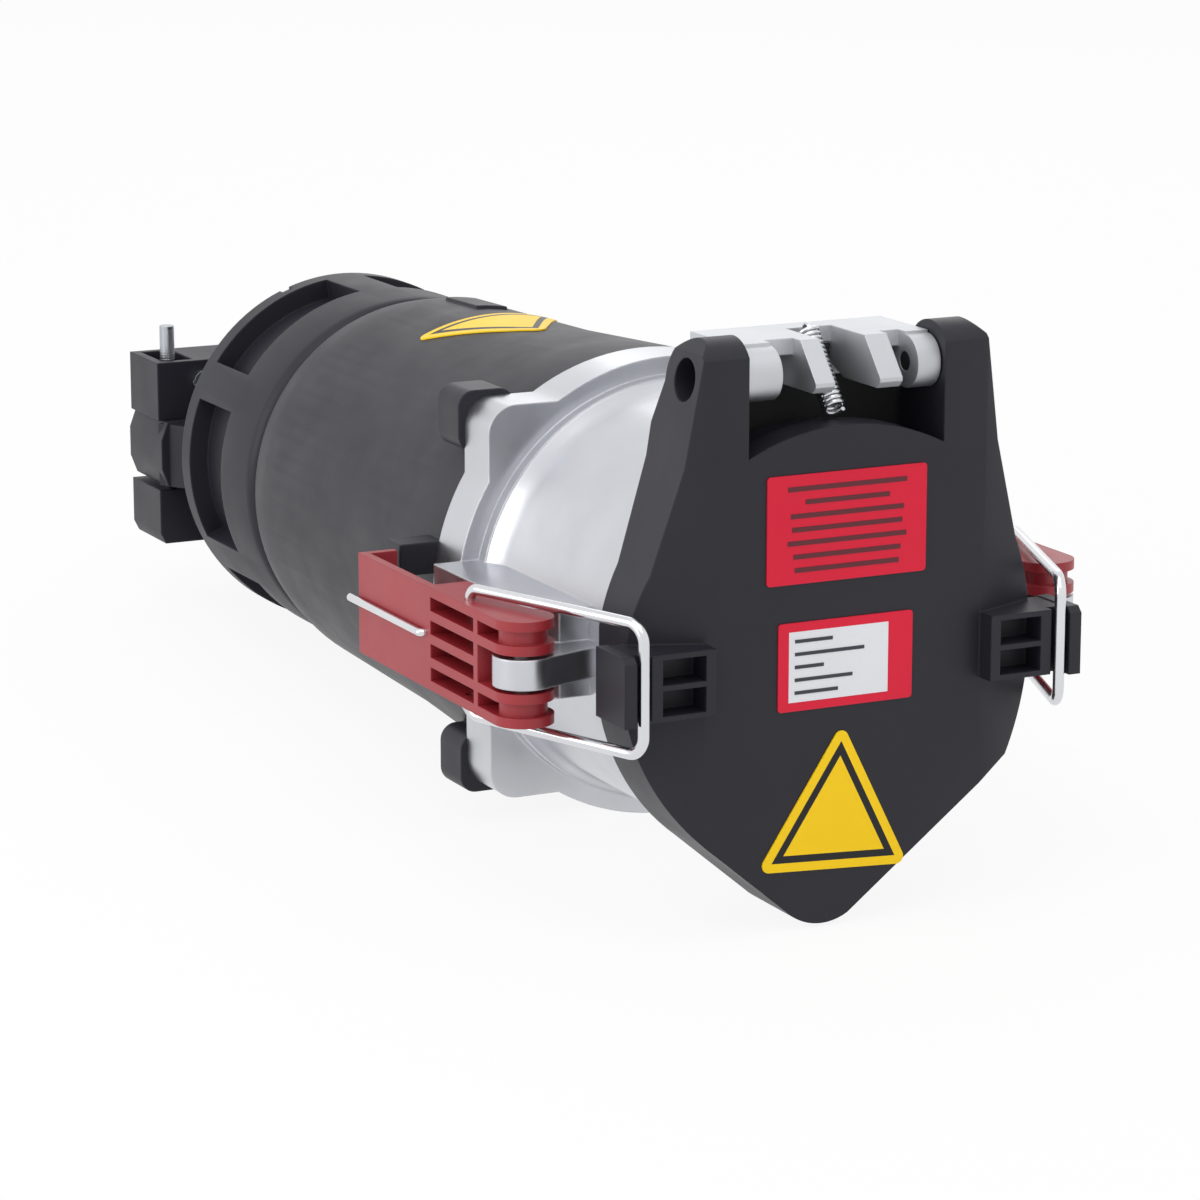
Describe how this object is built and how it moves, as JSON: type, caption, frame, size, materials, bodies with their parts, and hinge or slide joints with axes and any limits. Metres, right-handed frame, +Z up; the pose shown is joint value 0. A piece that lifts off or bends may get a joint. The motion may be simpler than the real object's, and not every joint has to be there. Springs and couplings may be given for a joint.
{
  "type": "industrial extension socket",
  "caption": "Heavy power connector with a hinged lid, two latch levers with wire bails, an aluminium collar, a plastic rear housing and a cable gland with clamp.",
  "frame": {"origin": "centre of the collar's mouth, on the axis of the body", "axes": "+Y back along the axis towards the cable, +Z up towards the lid's hinge, +X right seen from the lid"},
  "size_m": [0.2082, 0.463, 0.1832],
  "materials": {
    "cast_aluminium": "satin",
    "blasted_aluminium": "fine matt",
    "black_plastic": "fine matt grain",
    "insulator_plastic": "matt",
    "red_plastic": "satin",
    "bright_wire": "bright",
    "steel": "zinc plated",
    "brass": "plain",
    "rubber": "matt",
    "red_label": "satin",
    "yellow_label": "satin"
  },
  "bodies": {
    "housing": {"front_housing": "cast_aluminium", "hinge_bracket": "blasted_aluminium", "hinge_facing": "rubber", "bracket_screws": "steel", "hinge_pins": "steel", "lid_spring": "bright_wire", "body_triangle": "yellow_label", "contact_carrier": "insulator_plastic", "contact_sleeve_1": "brass", "contact_sleeve_2": "brass", "contact_sleeve_3": "brass", "contact_sleeve_4": "brass", "pilot_sleeve": "brass", "terminal_screws": "steel", "rear_housing": "black_plastic", "housing_seal": "rubber", "flange_screws": "steel", "gland_nut": "black_plastic", "cable_seal": "rubber", "thrust_ring": "insulator_plastic", "cable_neck": "black_plastic", "clamp_upper_jaw": "black_plastic", "clamp_lower_jaw": "black_plastic", "clamp_bolts": "steel", "clamp_nuts": "steel", "clamp_lock_screws": "steel"},
    "lid": {"lid": "black_plastic", "lid_gasket": "rubber", "caution_panel": "red_label", "rating_plate": "red_label", "lid_triangle": "yellow_label"},
    "lever_left": {"latch_lever_left": "red_plastic", "lever_pin_left": "steel", "lever_clip_left": "bright_wire"},
    "lever_right": {"latch_lever_right": "red_plastic", "lever_pin_right": "steel", "lever_clip_right": "bright_wire"},
    "bail_left": {"bail_left": "bright_wire"},
    "bail_right": {"bail_right": "bright_wire"}
  },
  "joints": [
    {"name": "lid_hinge", "type": "hinge", "parent": "housing", "child": "lid", "pos_m": [0, -0.0178, 0.0893], "axis": [-1, 0, 0], "range_deg": [0, 105]},
    {"name": "lever_left_turn", "type": "hinge", "parent": "housing", "child": "lever_left", "pos_m": [-0.092, 0.006, 0.0005], "axis": [0, 0, 1], "range_deg": [0, 110]},
    {"name": "bail_left_turn", "type": "hinge", "parent": "lever_left", "child": "bail_left", "pos_m": [-0.097, 0.033, 0.0005], "axis": [0, 0, 1], "range_deg": [-70, 0]},
    {"name": "lever_right_turn", "type": "hinge", "parent": "housing", "child": "lever_right", "pos_m": [0.092, 0.006, 0.0005], "axis": [0, 0, -1], "range_deg": [0, 110]},
    {"name": "bail_right_turn", "type": "hinge", "parent": "lever_right", "child": "bail_right", "pos_m": [0.097, 0.033, 0.0005], "axis": [0, 0, -1], "range_deg": [-70, 0]}
  ],
  "couplings": [
    {"joint": "bail_left_turn", "follows": "lever_left_turn", "ratio": -0.63},
    {"joint": "bail_right_turn", "follows": "lever_right_turn", "ratio": -0.63}
  ]
}
